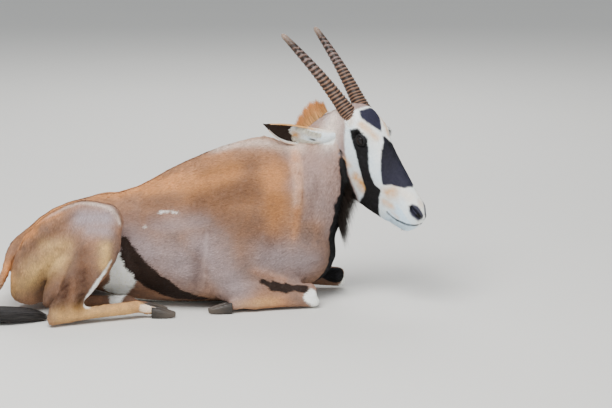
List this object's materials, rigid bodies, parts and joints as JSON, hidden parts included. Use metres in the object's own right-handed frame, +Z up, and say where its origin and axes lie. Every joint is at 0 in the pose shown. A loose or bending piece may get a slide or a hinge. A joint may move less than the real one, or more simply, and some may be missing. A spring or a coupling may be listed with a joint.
{
  "type": "gemsbok lying down",
  "caption": "Young gemsbok lying on its chest with folded legs, the head turned to its right, long ringed horns, ear cups, nape mane, throat tuft and tail tuft.",
  "frame": {"origin": "on the floor under the middle of the chest, on the flat that the torso rests on", "axes": "+X forward along the back, +Y to the animal's left, +Z up"},
  "size_m": [1.2312, 0.5435, 0.7338],
  "materials": {
    "hide": "short fawn-grey coat with dark brown and white markings",
    "face": "short white coat with black markings on the face and ears",
    "horn": "dull ringed horn, smooth towards the tip",
    "hoof": "dark worn hoof",
    "eye": "wet dark eye",
    "tail_hair": "long black hair"
  },
  "bodies": {
    "root": {"torso": "hide", "neck": "hide", "head": "face", "eye_right": "eye", "eye_left": "eye", "horn_right": "horn", "horn_left": "horn", "ear_right": "face", "ear_left": "face", "thigh_right": "hide", "shank_right": "hide", "hind_cannon_right": "hide", "hind_pastern_right": "hide", "thigh_left": "hide", "shank_left": "hide", "hind_cannon_left": "hide", "hind_pastern_left": "hide", "forearm_right": "hide", "fore_cannon_right": "hide", "fore_pastern_right": "hide", "forearm_left": "hide", "fore_cannon_left": "hide", "fore_pastern_left": "hide", "tail_dock": "hide", "tail_tuft": "tail_hair", "hind_hoof_right_outer": "hoof", "hind_hoof_right_inner": "hoof", "hind_hoof_left_outer": "hoof", "hind_hoof_left_inner": "hoof", "fore_hoof_right_outer": "hoof", "fore_hoof_right_inner": "hoof", "fore_hoof_left_outer": "hoof", "fore_hoof_left_inner": "hoof"}
  },
  "joints": []
}
